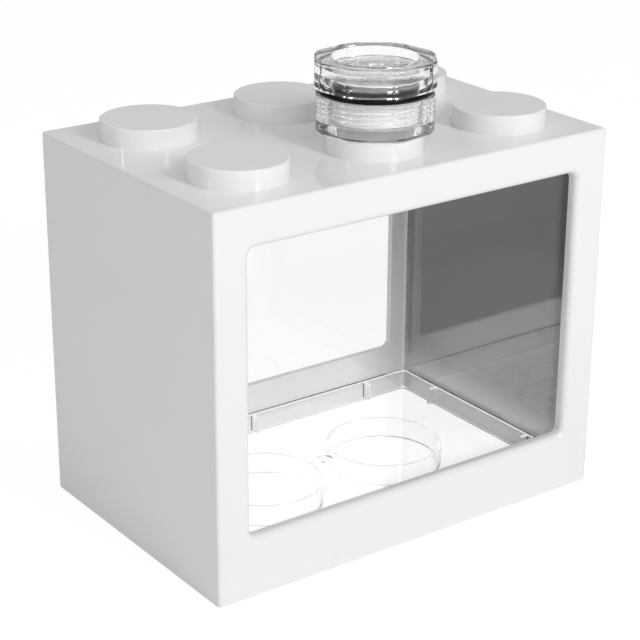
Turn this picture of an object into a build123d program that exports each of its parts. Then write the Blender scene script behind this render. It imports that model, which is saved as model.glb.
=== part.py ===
from build123d import *
import os
from math import sqrt

# A mini aquarium in the shape of a toy building block. A white moulded shell
# with studs on top and a window front and back slips over a clear tank. The
# tank's floor is raised, so that the studs of a block below fit under it,
# between two tubes and ten thin fins. A clear screw-top lamp stands on the
# front middle stud, which is bored through, and shines down into the water.
#
# Millimetres. +X runs along the block, -Y is the front, +Z is up. The origin
# is the middle of the block's footprint, on the surface it stands on.

# Block and its studs
pitch = 40.2
columns = 3
rows = 2
neighbour_gap = 0.6
shell_height = 100.0
stud_radius = 12.3
stud_height = 5.1
stud_edge_round = 0.4

# Shell
shell_wall = 3.0
shell_top = 3.0
stud_skin = 3.0
top_edge_round = 0.8
upright_edge_round = 0.9
inner_corner_round = 1.2
window_side_rail = 9.6
window_bottom_rail = 16.0
window_top_rail = 10.4
window_corner_round = 2.0
window_edge_round = 1.7

# Tank
tank_gap = 0.2
tank_top_gap = 1.5
tank_wall = 1.5
tank_floor = 2.2
tank_corner_round = 3.0
tank_rim_round = 0.4
floor_edge_round = 0.6
socket_headroom = 0.6
stud_grip_gap = 0.05
tube_wall = 1.1
fin_thickness = 1.2
fin_foot_gap = 1.2
gate_dimple_radius = 2.4
gate_dimple_depth = 0.4
gate_stub_radius = 0.9
gate_stub_length = 0.8

# Lamp: cells and their holder
cell_radius = 10.0
cell_height = 3.2
cell_can_round = 0.35
cell_pole_inset = 1.3
cell_pole_height = 0.3
plus_mark_length = 5.0
plus_mark_width = 0.9
plus_mark_depth = 0.12
cell_slack = 0.15
holder_wall = 0.5
holder_skirt = 1.05
holder_shelf = 0.8
holder_shelf_width = 3.15
holder_cell_cover = 3.0
holder_slack = 0.15

# Lamp: board, lights and contacts
board_thickness = 1.0
board_slack = 0.2
led_count = 3
led_circle_radius = 5.4
led_base_radius = 1.5
led_base_height = 0.7
led_dome_radius = 1.15
led_dome_height = 1.0
led_dome_round = 0.92
led_floor_gap = 0.4
contact_thickness = 0.15
contact_width = 3.0
contact_touch_gap = 0.02
negative_span = 9.0
negative_foot = 2.0
positive_foot = 2.0
positive_grip = 1.8
positive_slot_room = 0.5
positive_slot_depth = 0.4

# Lamp: case, thread and seal
spigot_gap = 0.2
spigot_length = 4.0
port_radius = 9.0
lamp_floor = 3.0
lamp_body_height = 9.5
lamp_body_wall = 2.0
lamp_foot_round = 0.9
cap_overhang = 0.35
cap_roof = 1.9
cap_recess_depth = 2.2
cap_top_round = 0.7
cap_pad_radius = 3.0
cap_pad_height = 0.55
cap_pad_gap = 0.05
plug_wall = 1.6
plug_foot_gap = 0.9
grip_sides = 8
grip_flat_depth = 0.6
grip_turn = 32.0
thread_pitch = 1.2
thread_depth = 0.45
thread_clearance = 0.2
thread_base_width = 0.6
thread_crest_width = 0.2
thread_root_bite = 0.25
thread_end_gap = 0.7
seal_section = 1.6
seal_gap = 0.03
seal_inset = 0.4

# Sizes that follow from the ones above
shell_length = columns * pitch - neighbour_gap
shell_depth = rows * pitch - neighbour_gap
room_length = shell_length - 2 * shell_wall
room_depth = shell_depth - 2 * shell_wall
window_length = shell_length - 2 * window_side_rail
window_height = shell_height - window_bottom_rail - window_top_rail

tank_length = room_length - 2 * tank_gap
tank_depth = room_depth - 2 * tank_gap
tank_height = shell_height - shell_top - tank_top_gap
water_length = tank_length - 2 * tank_wall
water_depth = tank_depth - 2 * tank_wall
water_corner_round = tank_corner_round - tank_wall
socket_height = stud_height + socket_headroom
floor_top = socket_height + tank_floor
tube_radius = pitch / sqrt(2) - stud_radius - stud_grip_gap
fin_reach_x = (columns - 1) * pitch / 2 + stud_radius + stud_grip_gap
fin_reach_y = (rows - 1) * pitch / 2 + stud_radius + stud_grip_gap

lamp_y = -(rows - 1) * pitch / 2
lamp_seat = Plane(origin=(0, lamp_y, shell_height + stud_height))
plug_bore = cell_radius + cell_slack + holder_wall + holder_slack
plug_radius = plug_bore + plug_wall
body_bore = plug_radius + thread_depth + thread_clearance
body_radius = body_bore + lamp_body_wall
cap_radius = body_radius + cap_overhang
seal_circle = body_radius - seal_inset - seal_section / 2
collar_radius = seal_circle - seal_section / 2 - seal_gap
led_height = led_base_height + led_dome_height
board_z = lamp_floor + led_floor_gap + led_height
shelf_z = board_z + board_thickness
cell_seat_z = shelf_z + holder_shelf
cell_stack_z = cell_seat_z + 2 * cell_height
ceiling_z = cell_stack_z + cap_pad_gap + cap_pad_height
recess_z = ceiling_z + cap_roof
cap_top_z = recess_z + cap_recess_depth
flange_z = lamp_body_height + seal_section + 2 * seal_gap
plug_foot_z = lamp_floor + plug_foot_gap
holder_bore = cell_radius + cell_slack
holder_radius = holder_bore + holder_wall
board_radius = holder_radius - holder_skirt - board_slack

os.makedirs("parts", exist_ok=True)


def grip_outline(radius):
    """A round outline with flats ground on it for the fingers."""
    Circle(radius)
    RegularPolygon(
        radius=radius - grip_flat_depth,
        side_count=grip_sides,
        major_radius=False,
        rotation=grip_turn,
        mode=Mode.INTERSECT,
    )


def thread_ridge(root_radius, outward, length):
    """One helical ridge of the lamp's thread about the Z axis, starting on the X axis at z 0.

    outward is 1 for a ridge that stands out of a plug of the root radius and
    -1 for one that stands into a bore of it. The ridge's flanks run on into
    the wall, so that it is rooted there.
    """
    flank_slope = (thread_base_width - thread_crest_width) / 2 / thread_depth
    half_root = thread_base_width / 2 + flank_slope * thread_root_bite
    half_crest = thread_crest_width / 2
    with BuildPart() as ridge:
        with BuildLine() as coil:
            Helix(pitch=thread_pitch, height=length, radius=root_radius)
        path = coil.line
        with BuildSketch(Plane(origin=path @ 0, x_dir=(1, 0, 0), z_dir=path % 0)):
            with BuildLine():
                Polyline(
                    (-outward * thread_root_bite, -half_root),
                    (outward * thread_depth, -half_crest),
                    (outward * thread_depth, half_crest),
                    (-outward * thread_root_bite, half_root),
                    close=True,
                )
            make_face()
        sweep(path=path, is_frenet=True)
    return ridge.part


# Shell: five walls in one moulding, with the studs and both windows
stud_places = [(place.position.X, place.position.Y) for place in GridLocations(pitch, pitch, columns, rows)]
plain_studs = [(x, y) for x, y in stud_places if abs(x) > pitch / 4 or y > 0]

with BuildPart() as shell:
    with BuildSketch():
        Rectangle(shell_length, shell_depth)
    extrude(amount=shell_height)
    fillet(shell.edges().filter_by(Axis.Z), upright_edge_round)
    fillet(shell.faces().sort_by(Axis.Z)[-1].edges(), top_edge_round)

    with BuildSketch(Plane.XY.offset(shell_height)):
        with Locations(*stud_places):
            Circle(stud_radius)
    extrude(amount=stud_height)
    fillet(shell.edges().group_by(Axis.Z)[-1], stud_edge_round)

    with BuildSketch():
        RectangleRounded(room_length, room_depth, inner_corner_round)
    extrude(amount=shell_height - shell_top, mode=Mode.SUBTRACT)

    with BuildSketch(Plane.XY.offset(shell_height - shell_top)):
        with Locations(*plain_studs):
            Circle(stud_radius - stud_skin)
    extrude(amount=shell_top + stud_height - stud_skin, mode=Mode.SUBTRACT)

    with BuildSketch(Plane.XY.offset(shell_height - shell_top)):
        with Locations((0, lamp_y)):
            Circle(port_radius)
    extrude(amount=shell_top + stud_height, mode=Mode.SUBTRACT)

    window_middle = window_bottom_rail + window_height / 2
    with BuildSketch(Plane.XZ):
        with Locations((0, window_middle)):
            RectangleRounded(window_length, window_height, window_corner_round)
    extrude(amount=shell_depth, both=True, mode=Mode.SUBTRACT)
    for wall in (shell.faces().sort_by(Axis.Y)[0], shell.faces().sort_by(Axis.Y)[-1]):
        fillet(wall.inner_wires()[0].edges(), window_edge_round)

shell.part.label = "shell"

# Tank: clear walls and floor, with the sockets for another block's studs under it
with BuildPart() as tank:
    with BuildSketch():
        RectangleRounded(tank_length, tank_depth, tank_corner_round)
    extrude(amount=tank_height)
    with BuildSketch(Plane.XY.offset(floor_top)):
        RectangleRounded(water_length, water_depth, water_corner_round)
    extrude(amount=tank_height - floor_top, mode=Mode.SUBTRACT)
    fillet(tank.faces().group_by(Axis.Z)[-1].edges(), tank_rim_round)
    floor_face = tank.faces().filter_by(Axis.Z).group_by(lambda face: round(face.center().Z, 4))[1]
    fillet(floor_face.edges(), floor_edge_round)

    with BuildSketch():
        RectangleRounded(water_length, water_depth, water_corner_round)
    extrude(amount=socket_height, mode=Mode.SUBTRACT)

    with BuildSketch():
        with GridLocations(pitch, pitch, columns - 1, rows - 1):
            Circle(tube_radius)
            Circle(tube_radius - tube_wall, mode=Mode.SUBTRACT)
    extrude(amount=socket_height)

    side_fin = (water_length + tank_wall) / 2 - fin_reach_x
    end_fin = (water_depth + tank_wall) / 2 - fin_reach_y
    with BuildSketch(Plane.XY.offset(fin_foot_gap)):
        with GridLocations(2 * fin_reach_x + side_fin, pitch, 2, rows):
            Rectangle(side_fin, fin_thickness)
        with GridLocations(pitch, 2 * fin_reach_y + end_fin, columns, 2):
            Rectangle(fin_thickness, end_fin)
    extrude(amount=socket_height - fin_foot_gap)

    with BuildSketch(Plane.XY.offset(socket_height)):
        Circle(gate_dimple_radius)
    extrude(amount=gate_dimple_depth, mode=Mode.SUBTRACT)
    with BuildSketch(Plane.XY.offset(socket_height + gate_dimple_depth)):
        Circle(gate_stub_radius)
    extrude(amount=-gate_stub_length)

tank.part.label = "tank"

# The lamp's thread: each ridge starts one end gap inside the wall that it stands on, and
# the plug's lies half a pitch from the body's, so that they are in mesh when screwed home
body_thread_z = plug_foot_z + thread_end_gap / 2
plug_thread_z = plug_foot_z + thread_end_gap
body_ridge = thread_ridge(body_bore, -1, lamp_body_height - thread_end_gap - body_thread_z)
plug_ridge = thread_ridge(plug_radius, 1, lamp_body_height - thread_end_gap - plug_thread_z)
plug_ridge_turn = 360 * (plug_thread_z - body_thread_z) / thread_pitch - 180

# Lamp body: a clear cup with a thick floor for a lens and a spigot for the bored stud
with BuildPart() as lamp_body:
    with BuildSketch(lamp_seat):
        grip_outline(body_radius)
    extrude(amount=lamp_body_height)
    fillet(lamp_body.faces().sort_by(Axis.Z)[0].edges(), lamp_foot_round)
    with BuildSketch(lamp_seat.offset(-spigot_length)):
        Circle(port_radius - spigot_gap)
    extrude(amount=spigot_length)
    with BuildSketch(lamp_seat.offset(lamp_floor)):
        Circle(body_bore)
    extrude(amount=lamp_body_height - lamp_floor, mode=Mode.SUBTRACT)
    with Locations(lamp_seat.offset(body_thread_z).origin):
        add(body_ridge)

lamp_body.part.label = "lamp_body"

# Lamp cap: a clear grip with a recessed window, and the hollow threaded plug below it
with BuildPart() as lamp_cap:
    with BuildSketch(lamp_seat.offset(flange_z)):
        grip_outline(cap_radius)
    extrude(amount=cap_top_z - flange_z)
    fillet(lamp_cap.faces().sort_by(Axis.Z)[-1].edges(), cap_top_round)
    with BuildSketch(lamp_seat.offset(recess_z)):
        Circle(plug_bore)
    extrude(amount=cap_recess_depth, mode=Mode.SUBTRACT)
    with BuildSketch(lamp_seat.offset(plug_foot_z)):
        Circle(plug_radius)
    extrude(amount=flange_z - plug_foot_z)
    with BuildSketch(lamp_seat.offset(lamp_body_height + seal_gap)):
        Circle(collar_radius)
    extrude(amount=flange_z - lamp_body_height - seal_gap)
    with BuildSketch(lamp_seat.offset(plug_foot_z)):
        Circle(plug_bore)
    extrude(amount=ceiling_z - plug_foot_z, mode=Mode.SUBTRACT)
    with BuildSketch(lamp_seat.offset(ceiling_z - cap_pad_height)):
        Circle(cap_pad_radius)
    extrude(amount=cap_pad_height)
    with Locations(lamp_seat.offset(plug_thread_z).origin):
        add(plug_ridge, rotation=(0, 0, plug_ridge_turn))

lamp_cap.part.label = "lamp_cap"

# Sealing ring between the cap's flange and the body's rim
with BuildPart() as lamp_seal:
    with BuildSketch(Plane(origin=lamp_seat.origin, x_dir=(1, 0, 0), z_dir=(0, -1, 0))):
        with Locations((seal_circle, lamp_body_height + seal_gap + seal_section / 2)):
            Circle(seal_section / 2)
    revolve(axis=Axis(lamp_seat.origin, (0, 0, 1)))

lamp_seal.part.label = "lamp_seal"

# Cell holder: a white ring that carries the cells on a shelf, with the board under it
with BuildPart() as cell_holder:
    with BuildSketch(lamp_seat.offset(lamp_floor)):
        Circle(holder_radius)
        Circle(holder_radius - holder_skirt, mode=Mode.SUBTRACT)
    extrude(amount=shelf_z - lamp_floor)
    with BuildSketch(lamp_seat.offset(shelf_z)):
        Circle(holder_radius)
        Circle(holder_radius - holder_shelf_width, mode=Mode.SUBTRACT)
    extrude(amount=holder_shelf)
    with BuildSketch(lamp_seat.offset(cell_seat_z)):
        Circle(holder_radius)
        Circle(holder_bore, mode=Mode.SUBTRACT)
    extrude(amount=holder_cell_cover)

    slot_depth = holder_wall / 2
    slot_width = contact_width + 2 * positive_slot_room
    with BuildSketch(lamp_seat.offset(shelf_z)):
        with Locations((holder_radius, 0)):
            Rectangle(2 * slot_depth, slot_width)
    extrude(amount=holder_shelf + holder_cell_cover, mode=Mode.SUBTRACT)
    with BuildSketch(lamp_seat.offset(shelf_z)):
        with Locations((holder_radius, 0)):
            Rectangle(2 * (holder_skirt + board_slack + positive_foot), slot_width)
    extrude(amount=positive_slot_depth, mode=Mode.SUBTRACT)

cell_holder.part.label = "cell_holder"


def coin_cell(foot_z):
    """A coin cell with its smaller, negative pole downwards."""
    with BuildPart() as cell:
        with BuildSketch(lamp_seat.offset(foot_z)):
            Circle(cell_radius - cell_pole_inset)
        extrude(amount=cell_pole_height)
        with BuildSketch(lamp_seat.offset(foot_z + cell_pole_height)):
            Circle(cell_radius)
        extrude(amount=cell_height - cell_pole_height)
        can_rims = cell.edges().filter_by(GeomType.CIRCLE).sort_by(SortBy.RADIUS)[-2:]
        fillet(can_rims, cell_can_round)
        with BuildSketch(lamp_seat.offset(foot_z + cell_height)):
            Rectangle(plus_mark_length, plus_mark_width)
            Rectangle(plus_mark_width, plus_mark_length)
        extrude(amount=-plus_mark_depth, mode=Mode.SUBTRACT)
    return cell.part


lower_cell = coin_cell(cell_seat_z)
lower_cell.label = "lower_cell"
upper_cell = coin_cell(cell_seat_z + cell_height)
upper_cell.label = "upper_cell"

# Light board, with its lights below it
with BuildPart() as light_board:
    with BuildSketch(lamp_seat.offset(board_z)):
        Circle(board_radius)
    extrude(amount=board_thickness)

light_board.part.label = "light_board"

with BuildPart() as leds:
    with BuildSketch(lamp_seat.offset(board_z - led_base_height)):
        with PolarLocations(led_circle_radius, led_count):
            Circle(led_base_radius)
    extrude(amount=led_base_height)
    with BuildSketch(lamp_seat.offset(board_z - led_height)):
        with PolarLocations(led_circle_radius, led_count):
            Circle(led_dome_radius)
    extrude(amount=led_dome_height)
    fillet(leds.edges().group_by(Axis.Z)[0], led_dome_round)

leds.part.label = "leds"

# Contacts: a sprung bow under the lower cell, and a strip up to the upper cell's can
bow_rise = cell_seat_z - contact_touch_gap - shelf_z
with BuildPart() as negative_contact:
    bow_plane = Plane(origin=lamp_seat.offset(shelf_z).origin, x_dir=(0, 1, 0), z_dir=(1, 0, 0))
    with BuildSketch(bow_plane):
        with BuildLine():
            Polyline(
                (-negative_span / 2, 0),
                (-negative_span / 2 + negative_foot, 0),
                (-negative_foot / 2, bow_rise - contact_thickness),
                (negative_foot / 2, bow_rise - contact_thickness),
                (negative_span / 2 - negative_foot, 0),
                (negative_span / 2, 0),
                (negative_span / 2, contact_thickness),
                (negative_span / 2 - negative_foot, contact_thickness),
                (negative_foot / 2, bow_rise),
                (-negative_foot / 2, bow_rise),
                (-negative_span / 2 + negative_foot, contact_thickness),
                (-negative_span / 2, contact_thickness),
                close=True,
            )
        make_face()
    extrude(amount=contact_width / 2, both=True)

negative_contact.part.label = "negative_contact"

strip_in = holder_radius - slot_depth + contact_touch_gap
strip_out = strip_in + contact_thickness
grip_in = cell_radius + contact_touch_gap
grip_out = grip_in + contact_thickness
bend_z = cell_seat_z + holder_cell_cover
grip_z = bend_z + holder_wall
with BuildPart() as positive_contact:
    strip_plane = Plane(origin=lamp_seat.origin, x_dir=(1, 0, 0), z_dir=(0, -1, 0))
    with BuildSketch(strip_plane):
        with BuildLine():
            Polyline(
                (board_radius - positive_foot, shelf_z),
                (strip_out, shelf_z),
                (strip_out, bend_z),
                (grip_out, grip_z),
                (grip_out, grip_z + positive_grip),
                (grip_in, grip_z + positive_grip),
                (grip_in, grip_z),
                (strip_in, bend_z),
                (strip_in, shelf_z + contact_thickness),
                (board_radius - positive_foot, shelf_z + contact_thickness),
                close=True,
            )
        make_face()
    extrude(amount=contact_width / 2, both=True)

positive_contact.part.label = "positive_contact"

for piece in (
    shell.part,
    tank.part,
    lamp_body.part,
    lamp_cap.part,
    lamp_seal.part,
    cell_holder.part,
    lower_cell,
    upper_cell,
    light_board.part,
    leds.part,
    negative_contact.part,
    positive_contact.part,
):
    export_step(piece, f"parts/{piece.label}.step")
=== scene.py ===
from math import cos, radians, sin

import bpy
from mathutils import Matrix, Vector


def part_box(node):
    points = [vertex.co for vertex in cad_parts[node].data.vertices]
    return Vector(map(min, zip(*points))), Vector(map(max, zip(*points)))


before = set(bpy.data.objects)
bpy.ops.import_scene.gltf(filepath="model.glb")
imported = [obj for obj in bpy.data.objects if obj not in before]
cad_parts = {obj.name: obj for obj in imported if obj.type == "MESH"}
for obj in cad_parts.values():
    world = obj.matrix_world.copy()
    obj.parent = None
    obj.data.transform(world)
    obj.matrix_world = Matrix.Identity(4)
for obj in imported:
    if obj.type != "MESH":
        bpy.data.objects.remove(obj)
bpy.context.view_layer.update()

# A mini aquarium in the shape of a toy building block, on a white table: a glossy white
# shell with windows over a clear tank, and a clear screw-top lamp on the front middle stud.
# Metres, with +X along the block, -Y the front and +Z up.

MM = 0.001

# The photograph's view, found from the block's straight edges, studs and windows
CAMERA_PLACE = (-272.7 * MM, -372.2 * MM, 233.2 * MM)
CAMERA_AZIMUTH = -36.08
CAMERA_ELEVATION = 21.89
CAMERA_ROLL = 0.35
CAMERA_LENS_MM = 105.74
CAMERA_SENSOR_MM = 36.0
CAMERA_NEAREST = 10 * MM

# The pieces that the finishes follow, from the frame
SHELL_LOW, SHELL_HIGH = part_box("shell")
LAMP_LOW, LAMP_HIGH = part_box("lamp_body")
LEDS_LOW, LEDS_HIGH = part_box("leds")
UPPER_CELL_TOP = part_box("upper_cell")[1].z
LAMP_X = (LAMP_LOW.x + LAMP_HIGH.x) / 2
LAMP_Y = (LAMP_LOW.y + LAMP_HIGH.y) / 2
BLOCK_TOP = 100.0 * MM
SHELL_WALL = 3.0 * MM
OBJECT_MIDDLE = Vector((0.0, 0.0, BLOCK_TOP / 2))

# Painted shade on the inside of the shell's side walls: grey at the foot and nearly black
# above, on what lies from just behind the inner face to just off it, and up to the end walls
INNER_FACE = SHELL_HIGH.x - SHELL_WALL
INNER_FACE_BEHIND = 0.05 * MM
INNER_FACE_OFF = 0.6 * MM
INNER_END = SHELL_HIGH.y - SHELL_WALL + 0.02 * MM
INNER_FOOT_SHADE_GREY = 0.45
INNER_HEAD_SHADE_GREY = 0.04
INNER_FOOT = 6 * MM
INNER_HEAD = 20 * MM

# The cells' cans: the depth of the top face painted pale, and how fine the rings and side grain
# are
CELL_TOP_SKIN = 0.15 * MM
CELL_RING_FINENESS = 6.0
CELL_SIDE_FINENESS = 2.0

# What one surface of clear plastic lets through to a shadow
CLEAR_SHARE = 0.99

# The table: its own greys, with painted shade where gloss mirrors it behind the block, and how
# far it glows in place of being lit
TABLE_HALF = 3.0
TABLE_SINK = 0.05 * MM
TABLE_GREY = 0.88
TABLE_PAINTED_SHADE_GREY = 0.25
GLOW_STRENGTH = 1.22
GLOW_GREY = 0.86
SEEN_GLOW = 0.90
MIRRORED_GLOW = 0.70
UNDER_GLOW = 0.75

# The room: where it lights the object, where gloss or clear plastic mirrors it, with
# a dark flag at the right front and left back, and where clear plastic shows it
ROOM_GREY = 0.36
STUDIO_GREY = 0.54
STUDIO_IN_CLEAR = 0.90
FLAG_GREY = 0.10
FLAG_START = -0.30
FLAG_FULL = -0.42
BACKDROP_GREY = 1.0
BACKDROP_IN_CLEAR = (0.935, 0.935, 0.915, 1.0)


class Link:
    """An output socket that takes part in Python sums, where each operator adds a node."""

    def __init__(self, finish, socket):
        self.finish = finish
        self.socket = socket

    def math(self, operation, *others):
        values = dict(enumerate((self, *others)))
        return self.finish.node("ShaderNodeMath", {"operation": operation}, values)

    def __add__(self, other):
        return self.math("ADD", other)

    __radd__ = __add__

    def __sub__(self, other):
        return self.math("SUBTRACT", other)

    def __rsub__(self, other):
        return (self * -1.0) + other

    def __mul__(self, other):
        return self.math("MULTIPLY", other)

    __rmul__ = __mul__

    def __pow__(self, other):
        return self.math("POWER", other)

    def __abs__(self):
        return self.math("ABSOLUTE")

    def __gt__(self, other):
        return self.math("GREATER_THAN", other)

    def __lt__(self, other):
        return self.math("LESS_THAN", other)


class Finish:
    """The node tree of one material or of the world."""

    def __init__(self, name, owner=None):
        self.owner = owner or bpy.data.materials.new(name)
        self.owner.use_nodes = True
        self.tree = self.owner.node_tree
        self.tree.nodes.clear()

    def node(self, kind, settings=None, values=None, out=0):
        """Adds a node, sets it up, fills or links its inputs, and gives back one output."""
        node = self.tree.nodes.new(kind)
        for name, setting in (settings or {}).items():
            setattr(node, name, setting)
        for key, value in (values or {}).items():
            socket = node.inputs[key]
            if isinstance(value, Link):
                self.tree.links.new(value.socket, socket)
            else:
                socket.default_value = value
        return Link(self, node.outputs[out]) if len(node.outputs) else None

    def point(self):
        """The point on the object, in metres."""
        return self.node("ShaderNodeTexCoord", out="Object")

    def parts(self, vector):
        """The three parts of a vector, such as the x, y and z of a point."""
        split = self.node("ShaderNodeSeparateXYZ", values={0: vector}).socket.node
        return [Link(self, output) for output in split.outputs]

    def noise(self, point, scale, detail=2.0):
        values = {"Vector": point, "Scale": scale, "Detail": detail}
        return self.node("ShaderNodeTexNoise", values=values)

    def stretch(self, point, scales):
        values = {0: point, 1: scales}
        return self.node("ShaderNodeVectorMath", {"operation": "MULTIPLY"}, values)

    def step(self, value, low, high):
        """A smooth step of value, 0 at low and 1 at high."""
        settings = {"interpolation_type": "SMOOTHSTEP"}
        return self.node("ShaderNodeMapRange", settings, {0: value, 1: low, 2: high})

    def mix(self, factor, first, second):
        """The colour first where factor is 0 and second where it is 1."""
        values = {0: factor, 6: first, 7: second}
        return self.node("ShaderNodeMix", {"data_type": "RGBA"}, values, out=2)

    def bump(self, height, distance, strength=1.0):
        values = {"Height": height, "Distance": distance, "Strength": strength}
        return self.node("ShaderNodeBump", values=values)

    def ray(self, kind):
        """1 on the rays that kind names, or a ray's count of such bounces."""
        return self.node("ShaderNodeLightPath", out=kind)

    def seen_through(self):
        """1 on rays that reach the backdrop straight or only through clear plastic."""
        clear = self.ray("Is Transmission Ray") * (self.ray("Diffuse Depth") < 0.5)
        clear = clear * (self.ray("Glossy Depth") < 0.5)
        return (self.ray("Is Camera Ray") + clear).math("MINIMUM", 1.0)

    def mirrored(self):
        """1 on rays that gloss has thrown back before any matt surface."""
        return (self.ray("Glossy Depth") > 0.5) * (self.ray("Diffuse Depth") < 0.5)

    def plastic(self, values):
        return self.node("ShaderNodeBsdfPrincipled", values=values)

    def blend(self, factor, first, second):
        """The shader first where factor is 0 and second where it is 1."""
        return self.node("ShaderNodeMixShader", values={0: factor, 1: first, 2: second})

    def shade(self, shader):
        self.node("ShaderNodeOutputMaterial", values={"Surface": shader})
        return self.owner


def grey(level):
    return (level, level, level, 1.0)


# Finishes


def white_moulding():
    """Glossy white plastic. The inside of the two side walls has painted shade: dark grey under
    a polished coat.
    """
    finish = Finish("white_moulding")
    point = finish.point()
    x, y, z = finish.parts(point)
    # Painted shade: the inside of the side walls is painted grey, darker upwards, in place of
    # white
    inside = (abs(x) < INNER_FACE + INNER_FACE_BEHIND) * (abs(x) > INNER_FACE - INNER_FACE_OFF)
    inside = inside * (abs(y) < INNER_END) * (z < BLOCK_TOP - SHELL_WALL)
    height = finish.step(z, INNER_FOOT, INNER_HEAD)
    wall_painted_shade = finish.mix(height, grey(INNER_FOOT_SHADE_GREY), grey(INNER_HEAD_SHADE_GREY))
    mottle = finish.noise(point, 60.0, detail=3.0)
    white = finish.mix(mottle, (0.885, 0.885, 0.882, 1.0), (0.905, 0.905, 0.903, 1.0))
    sink = finish.noise(point, 55.0, detail=1.0)
    smear = finish.noise(point, 35.0, detail=4.0)
    shader = finish.plastic({
        "Base Color": finish.mix(inside, white, wall_painted_shade),
        "Roughness": 0.05 + 0.06 * smear,
        "IOR": 1.52,
        "Coat Weight": inside,
        "Coat IOR": 1.75,
        "Coat Roughness": 0.04,
        "Normal": finish.bump(sink, 0.02 * MM, 0.6),
    })
    return finish.shade(shader)


def clear_moulding(name, tint, waves, ripple, roughness):
    """Clear plastic that lets light through to what stands behind it."""
    finish = Finish(name)
    point = finish.point()
    flow = finish.noise(finish.stretch(point, (1.0, 1.0, 0.25)), waves)
    haze = finish.noise(point, 240.0, detail=3.0)
    shader = finish.plastic({
        "Base Color": tint,
        "Roughness": roughness * haze,
        "IOR": 1.49,
        "Transmission Weight": 1.0,
        "Normal": finish.bump(flow, ripple),
    })
    ghost = finish.node("ShaderNodeBsdfTransparent", values={"Color": grey(CLEAR_SHARE)})
    lighting = finish.ray("Is Shadow Ray") + finish.ray("Is Diffuse Ray")
    return finish.shade(finish.blend(lighting.math("MINIMUM", 1.0), shader, ghost))


def seal_rubber():
    finish = Finish("seal_rubber")
    bloom = finish.noise(finish.point(), 500.0, detail=3.0)
    shader = finish.plastic({
        "Base Color": finish.mix(bloom, grey(0.001), grey(0.003)),
        "Roughness": 0.20 + 0.1 * bloom,
        "Specular IOR Level": 0.15,
        "Normal": finish.bump(bloom, 0.02 * MM, 0.6),
    })
    return finish.shade(shader)


def turned_steel():
    """The stamped can of a coin cell, with turned rings; its side painted dark and its top pale
    as painted reflection.
    """
    finish = Finish("turned_steel")
    point = finish.point()
    x, y, z = finish.parts(point)
    out = ((x - LAMP_X) ** 2.0 + (y - LAMP_Y) ** 2.0) ** 0.5
    rings = {0: out * CELL_RING_FINENESS, 1: z * CELL_SIDE_FINENESS}
    grain = finish.noise(finish.node("ShaderNodeCombineXYZ", values=rings), 2200.0)
    stain = finish.noise(point, 260.0, detail=3.0)
    top_face = z > UPPER_CELL_TOP - CELL_TOP_SKIN
    # Painted reflection: one steel, painted dark at the side and pale on top
    side = finish.mix(stain, (0.20, 0.20, 0.20, 1.0), (0.36, 0.36, 0.35, 1.0))
    top = finish.mix(stain, (0.80, 0.80, 0.79, 1.0), (0.95, 0.95, 0.94, 1.0))
    shader = finish.plastic({
        "Base Color": finish.mix(top_face, side, top),
        "Metallic": 1.0,
        "Roughness": 0.05 + 0.06 * grain + 0.20 * top_face,
        "Normal": finish.bump(grain, 0.008 * MM, 0.5),
    })
    return finish.shade(shader)


def holder_plastic():
    finish = Finish("holder_plastic")
    texture = finish.noise(finish.point(), 900.0)
    shader = finish.plastic({
        "Base Color": finish.mix(texture, grey(0.80), grey(0.86)),
        "Roughness": 0.42 + 0.12 * texture,
        "Normal": finish.bump(texture, 0.02 * MM, 0.5),
    })
    return finish.shade(shader)


def board_lacquer():
    """White lacquer, with pale tracks showing faintly in it."""
    finish = Finish("board_lacquer")
    bands = {"bands_direction": "DIAGONAL"}
    values = {"Vector": finish.point(), "Scale": 260.0}
    tracks = finish.step(finish.node("ShaderNodeTexWave", bands, values), 0.78, 0.86)
    shader = finish.plastic({
        "Base Color": finish.mix(tracks, grey(0.80), (0.70, 0.72, 0.66, 1.0)),
        "Roughness": 0.30 + 0.10 * tracks,
        "Normal": finish.bump(tracks, 0.03 * MM, 0.5),
    })
    return finish.shade(shader)


def led_lens():
    """A milky dome over a yellow patch of phosphor."""
    finish = Finish("led_lens")
    point = finish.point()
    x, y, z = finish.parts(point)
    height = finish.step(z, LEDS_LOW.z, LEDS_HIGH.z)
    cloud = finish.noise(point, 800.0)
    shader = finish.plastic({
        "Base Color": finish.mix(height, (0.86, 0.80, 0.42, 1.0), (0.90, 0.89, 0.84, 1.0)),
        "Roughness": 0.16 + 0.10 * cloud,
    })
    return finish.shade(shader)


def nickel_strip():
    finish = Finish("nickel_strip")
    rolled = finish.noise(finish.stretch(finish.point(), (0.15, 1.0, 0.15)), 2600.0)
    shader = finish.plastic({
        "Base Color": finish.mix(rolled, (0.58, 0.56, 0.50, 1.0), (0.72, 0.70, 0.64, 1.0)),
        "Metallic": 1.0,
        "Roughness": 0.24 + 0.15 * rolled,
    })
    return finish.shade(shader)


def dress(nodes):
    """Gives each CAD piece its finish."""
    clear_tank = clear_moulding(
        "clear_tank_moulding",
        tint=(0.994, 0.997, 0.997, 1.0),
        waves=90.0,
        ripple=0.004 * MM,
        roughness=0.005,
    )
    clear_lamp = clear_moulding(
        "clear_lamp_moulding",
        tint=(0.975, 0.980, 0.982, 1.0),
        waves=900.0,
        ripple=0.05 * MM,
        roughness=0.02,
    )
    steel = turned_steel()
    nickel = nickel_strip()
    finishes = {
        "shell": white_moulding(),
        "tank": clear_tank,
        "lamp_body": clear_lamp,
        "lamp_cap": clear_lamp,
        "lamp_seal": seal_rubber(),
        "cell_holder": holder_plastic(),
        "lower_cell": steel,
        "upper_cell": steel,
        "light_board": board_lacquer(),
        "leds": led_lens(),
        "negative_contact": nickel,
        "positive_contact": nickel,
    }
    for name, material in finishes.items():
        for material_slot in nodes[name].material_slots:
            material_slot.material = material


# Table, room, lamps and camera


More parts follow.
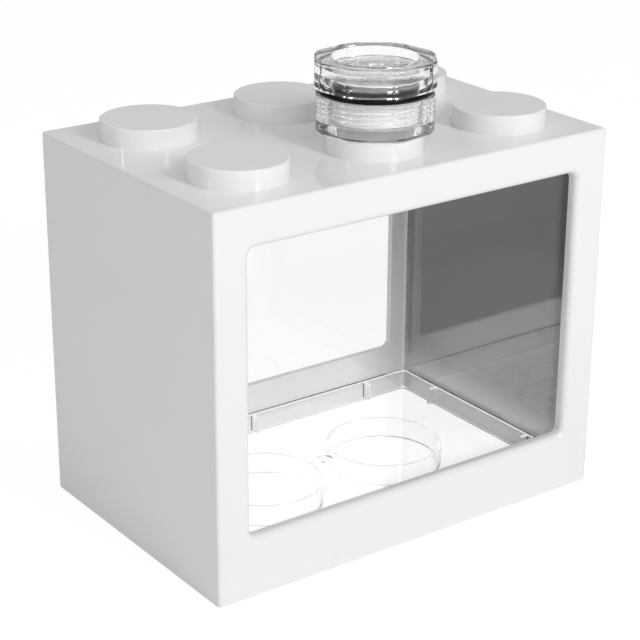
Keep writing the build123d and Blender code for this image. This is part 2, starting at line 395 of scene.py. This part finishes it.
def table_paper():
    """White paper that glows where it is seen, and keeps a soft shadow.

    Mirrored in gloss it glows under the block and in front of it, and what the inner walls
    mirror of it through the back window is painted dark as painted shade. Under the block it
    also lights the inside.
    """
    finish = Finish("table_paper")
    x, y, z = finish.parts(finish.point())
    under = (abs(x) < SHELL_HIGH.x) * (abs(y) < SHELL_HIGH.y)
    in_front = y < SHELL_LOW.y
    through = finish.ray("Is Transmission Ray")
    # Painted shade: behind the block, paper that gloss mirrors through clear plastic is painted
    # dark
    dark = (y > SHELL_HIGH.y) * finish.mirrored() * through
    paper_grey = finish.mix(dark, grey(TABLE_GREY), grey(TABLE_PAINTED_SHADE_GREY))
    paper = finish.node("ShaderNodeBsdfDiffuse", values={"Color": paper_grey})
    glow_values = {
        "Color": finish.mix(under * through, grey(GLOW_GREY), grey(1.0)),
        "Strength": GLOW_STRENGTH,
    }
    glow = finish.node("ShaderNodeEmission", values=glow_values)
    share = finish.seen_through() * SEEN_GLOW
    share = share + (under + in_front) * finish.mirrored() * MIRRORED_GLOW
    share = share + under * finish.ray("Is Diffuse Ray") * UNDER_GLOW
    return finish.shade(finish.blend(share, paper, glow))


def white_table():
    half = TABLE_HALF
    corners = [(-half, -half, 0.0), (half, -half, 0.0), (half, half, 0.0), (-half, half, 0.0)]
    mesh = bpy.data.meshes.new("table")
    mesh.from_pydata(corners, [], [(0, 1, 2, 3)])
    mesh.materials.append(table_paper())
    table = bpy.data.objects.new("table", mesh)
    table.location.z = -TABLE_SINK
    bpy.context.scene.collection.objects.link(table)


def white_room():
    """White where it is seen, a plain grey where it lights, a studio where gloss mirrors it."""
    world = bpy.data.worlds.new("room")
    bpy.context.scene.world = world
    finish = Finish("room", world)
    way = finish.node("ShaderNodeTexCoord", out="Generated")
    across, along, up = finish.parts(way)
    through = finish.ray("Is Transmission Ray")
    flags = finish.step(across * along, FLAG_START, FLAG_FULL)
    studio = finish.mix(through, grey(STUDIO_GREY), grey(STUDIO_IN_CLEAR))
    studio = finish.mix(flags, studio, grey(FLAG_GREY))
    unseen = finish.mix(finish.mirrored(), grey(ROOM_GREY), studio)
    backdrop = finish.mix(through, grey(BACKDROP_GREY), BACKDROP_IN_CLEAR)
    colour = finish.mix(finish.seen_through(), unseen, backdrop)
    sky = finish.node("ShaderNodeBackground", values={"Color": colour, "Strength": 1.0})
    finish.node("ShaderNodeOutputWorld", values={"Surface": sky})


def way_back(azimuth, elevation):
    """The way from the object out to a viewer, where azimuth 0 is the front, 90 the right."""
    a, e = radians(azimuth), radians(elevation)
    return Vector((sin(a) * cos(e), -cos(a) * cos(e), sin(e)))


def softbox(name, watts, size, azimuth, elevation, distance):
    """A rectangular lamp that faces the object's middle."""
    lamp = bpy.data.lights.new(name, "AREA")
    lamp.shape = "RECTANGLE"
    lamp.size, lamp.size_y = size
    lamp.energy = watts
    box = bpy.data.objects.new(name, lamp)
    box.location = OBJECT_MIDDLE + distance * way_back(azimuth, elevation)
    facing = OBJECT_MIDDLE - box.location
    box.rotation_euler = facing.to_track_quat("-Z", "Y").to_euler()
    bpy.context.scene.collection.objects.link(box)


def lamps():
    softbox("key_strip", 4.8, (0.19, 0.40), azimuth=8.0, elevation=28.0, distance=1.10)
    softbox("front_fill", 1.4, (0.60, 0.08), azimuth=-30.0, elevation=28.0, distance=1.10)
    softbox("left_strip", 0.55, (0.07, 0.15), azimuth=-97.0, elevation=21.0, distance=0.90)
    softbox("top_softbox", 2.7, (1.2, 1.2), azimuth=0.0, elevation=90.0, distance=1.50)


def camera():
    back = way_back(CAMERA_AZIMUTH, CAMERA_ELEVATION)
    roll = radians(CAMERA_ROLL)
    right = (-back).cross(Vector((0, 0, 1))).normalized()
    up = right.cross(-back)
    rolled_right = right * cos(roll) + up * sin(roll)
    rolled_up = up * cos(roll) - right * sin(roll)
    data = bpy.data.cameras.new("camera")
    data.sensor_width = CAMERA_SENSOR_MM
    data.lens = CAMERA_LENS_MM
    data.clip_start = CAMERA_NEAREST
    seat = bpy.data.objects.new("camera", data)
    axes = Matrix((rolled_right, rolled_up, back)).transposed().to_4x4()
    seat.matrix_world = Matrix.Translation(CAMERA_PLACE) @ axes
    bpy.context.scene.collection.objects.link(seat)
    bpy.context.scene.camera = seat


def light_paths():
    """Enough bounces for light to cross the tank's walls and the lamp's nested pieces."""
    cycles = bpy.context.scene.cycles
    cycles.max_bounces = 24
    cycles.transmission_bounces = 20
    cycles.transparent_max_bounces = 24
    cycles.glossy_bounces = 8
    cycles.diffuse_bounces = 5
    cycles.use_denoising = True


def main():
    bpy.context.scene.view_settings.view_transform = "Standard"
    dress(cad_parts)
    white_table()
    white_room()
    lamps()
    camera()
    light_paths()


main()
